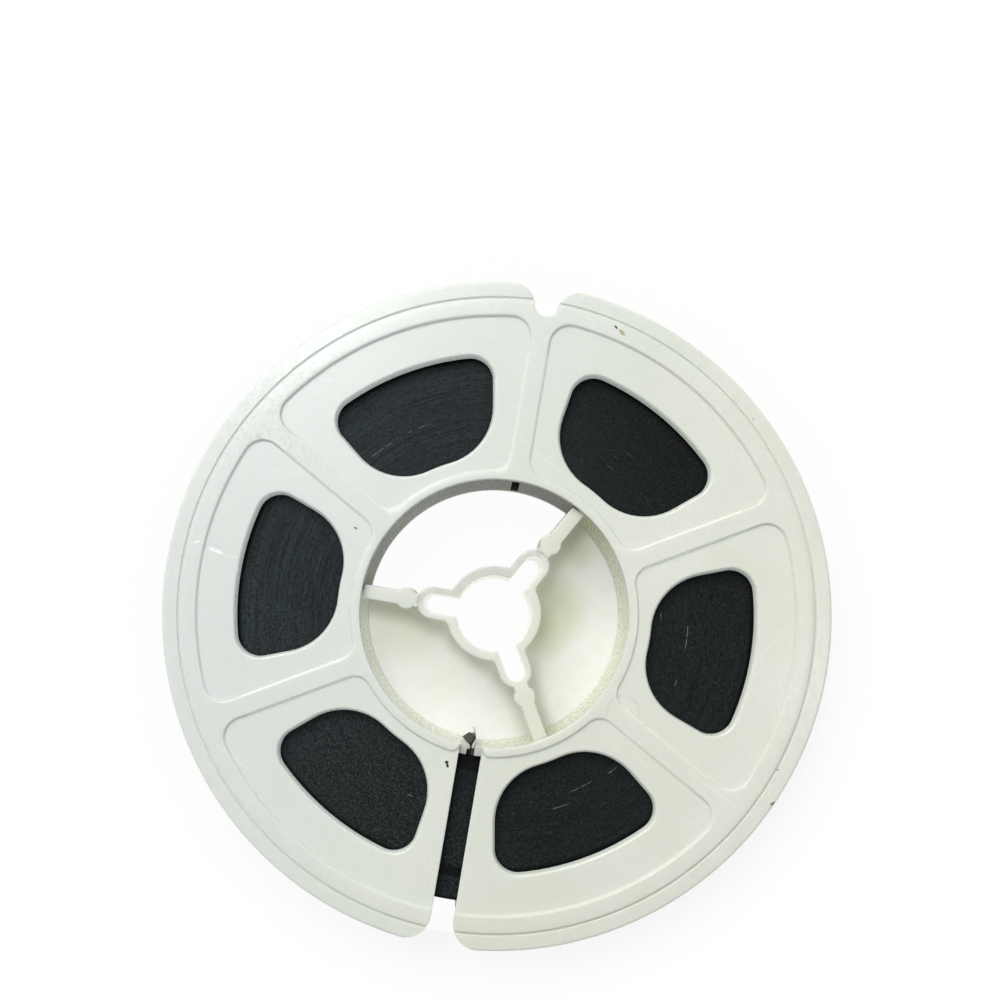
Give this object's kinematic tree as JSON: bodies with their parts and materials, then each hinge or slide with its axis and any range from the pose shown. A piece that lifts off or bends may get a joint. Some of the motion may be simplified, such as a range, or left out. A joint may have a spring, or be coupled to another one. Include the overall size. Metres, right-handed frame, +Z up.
{
  "type": "film reel",
  "caption": "Small flat reel for narrow cine film: two windowed flanges with a threading slit, a slotted drum, a keyed spindle socket on spokes, wound full of film.",
  "frame": {"origin": "spindle axis, on the plane the reel lies on", "axes": "+Z up along the spindle axis, threading slit along -Y"},
  "size_m": [0.0762, 0.0757, 0.0116],
  "materials": {
    "flange_plastic": "fine satin",
    "hub_plastic": "smooth moulded",
    "film_edges": "wound film edges, fine concentric lines",
    "film_face": "glossy film base"
  },
  "bodies": {
    "root": {"front_flange": "flange_plastic", "rear_flange": "flange_plastic", "hub_core": "hub_plastic", "film_pack": "film_edges", "film_outer_turn": "film_face", "film_inner_end": "film_face"}
  },
  "joints": []
}
